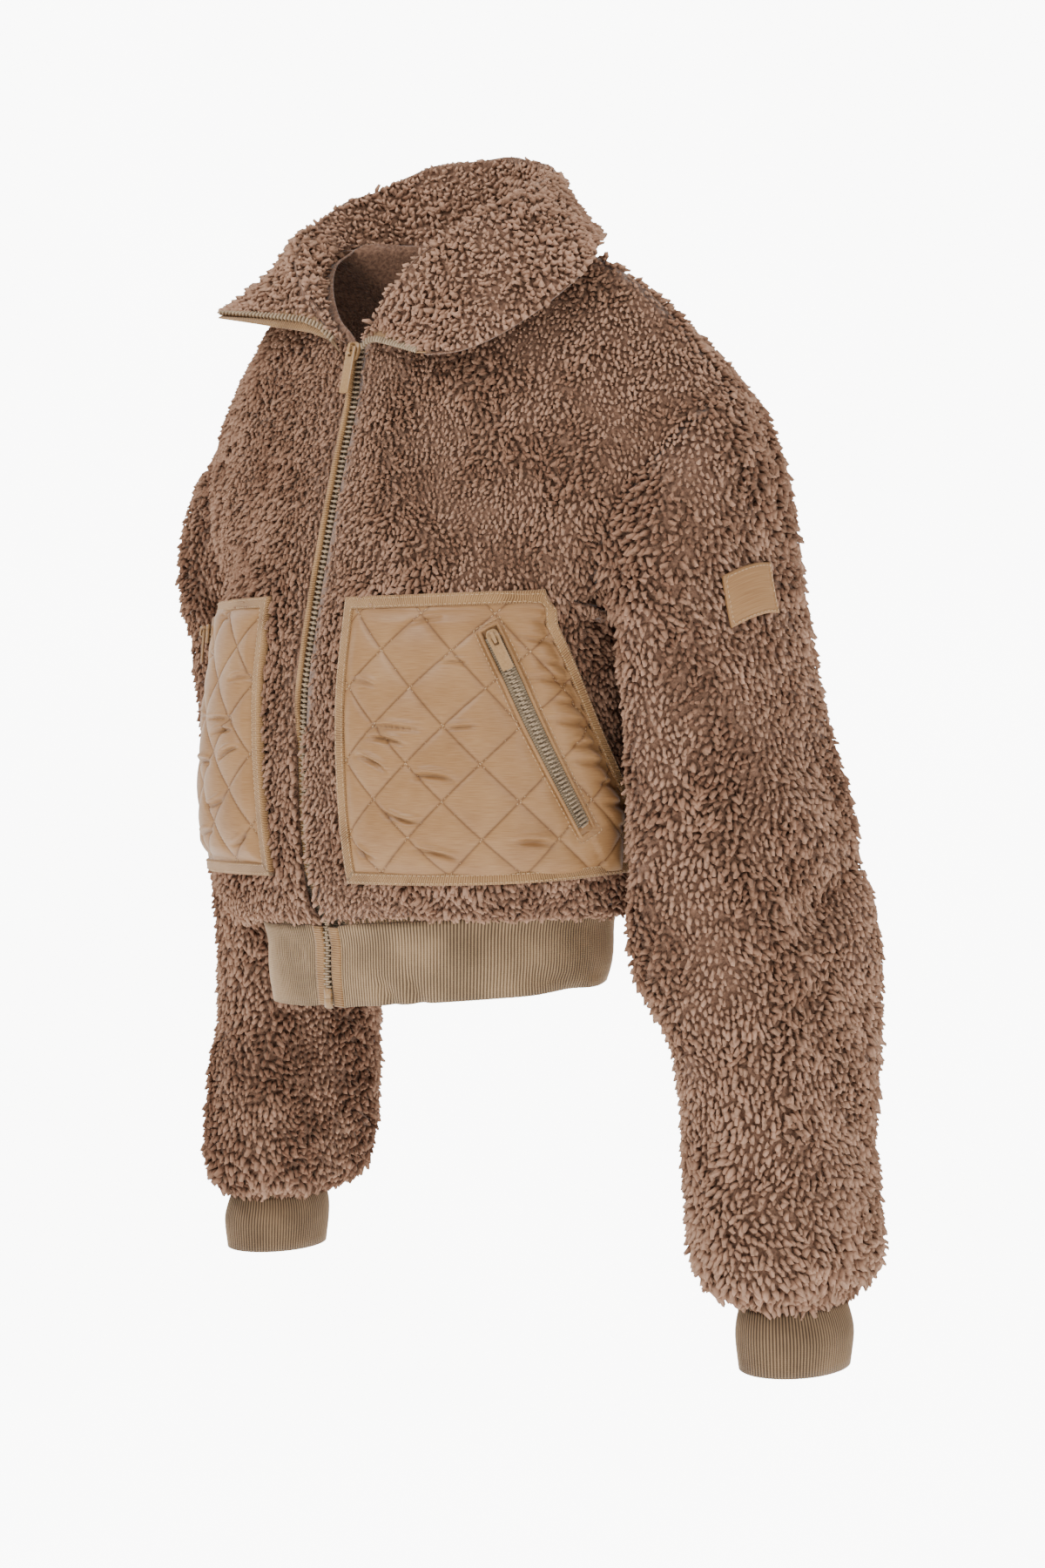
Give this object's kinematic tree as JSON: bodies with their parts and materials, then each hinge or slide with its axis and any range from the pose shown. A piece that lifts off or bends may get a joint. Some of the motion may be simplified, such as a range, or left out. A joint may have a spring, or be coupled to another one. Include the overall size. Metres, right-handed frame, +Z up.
{
  "type": "pile fleece jacket",
  "caption": "Cropped pile-fleece zip jacket in its worn shape, with full sleeves, ribbed cuffs and hem, an open rolled collar and quilted slant pockets.",
  "frame": {"origin": "centre of the neck base, where the wearer's neck and shoulders hold the jacket", "axes": "+X to the wearer's left, +Y to the wearer's back, +Z up"},
  "size_m": [0.5912, 0.2857, 0.7981],
  "materials": {
    "pile_fleece": "curly sherpa pile, matt",
    "rib_knit": "doubled rib knit",
    "quilted_satin": "quilted satin weave, soft sheen",
    "twill_tape": "woven tape",
    "zip_teeth": "moulded",
    "zip_metal": "matt painted"
  },
  "bodies": {
    "jacket": {"back": "pile_fleece", "collar": "pile_fleece", "collar_zip_left_tape": "twill_tape", "collar_zip_left_teeth": "zip_teeth", "collar_zip_right_guard": "twill_tape", "collar_zip_right_tape": "twill_tape", "collar_zip_right_teeth": "zip_teeth", "cuff_left": "rib_knit", "cuff_right": "rib_knit", "front_left": "pile_fleece", "front_right": "pile_fleece", "hem_band": "rib_knit", "hem_tape_left": "twill_tape", "hem_tape_right": "twill_tape", "pocket_binding_left": "twill_tape", "pocket_binding_right": "twill_tape", "pocket_left": "quilted_satin", "pocket_right": "quilted_satin", "pocket_teeth_left": "zip_teeth", "pocket_teeth_right": "zip_teeth", "pocket_welt_left": "quilted_satin", "pocket_welt_right": "quilted_satin", "pocket_zip_left_bridge": "zip_metal", "pocket_zip_left_slider": "zip_metal", "pocket_zip_right_bridge": "zip_metal", "pocket_zip_right_slider": "zip_metal", "sleeve_left": "pile_fleece", "sleeve_patch": "twill_tape", "sleeve_right": "pile_fleece", "zip_bridge": "zip_metal", "zip_guard": "twill_tape", "zip_guard_edge": "twill_tape", "zip_slider": "zip_metal", "zip_tape_left": "twill_tape", "zip_tape_right": "twill_tape", "zip_teeth": "zip_teeth"},
    "zip_pull_tab": {"zip_pull": "zip_metal"},
    "pocket_zip_left_pull_tab": {"pocket_zip_left_pull": "zip_metal"},
    "pocket_zip_right_pull_tab": {"pocket_zip_right_pull": "zip_metal"}
  },
  "joints": [
    {"name": "zip_pull_swing", "type": "hinge", "parent": "jacket", "child": "zip_pull_tab", "pos_m": [0, -0.05815, -0.0938], "axis": [-1, 0, 0], "range_deg": [0, 150]},
    {"name": "pocket_zip_left_pull_swing", "type": "hinge", "parent": "jacket", "child": "pocket_zip_left_pull_tab", "pos_m": [0.1429, -0.06734, -0.28264], "axis": [-0.6169, -0.6607, -0.4277], "range_deg": [0, 150]},
    {"name": "pocket_zip_right_pull_swing", "type": "hinge", "parent": "jacket", "child": "pocket_zip_right_pull_tab", "pos_m": [-0.14286, -0.06736, -0.28268], "axis": [-0.6194, 0.6591, 0.4265], "range_deg": [0, 150]}
  ]
}
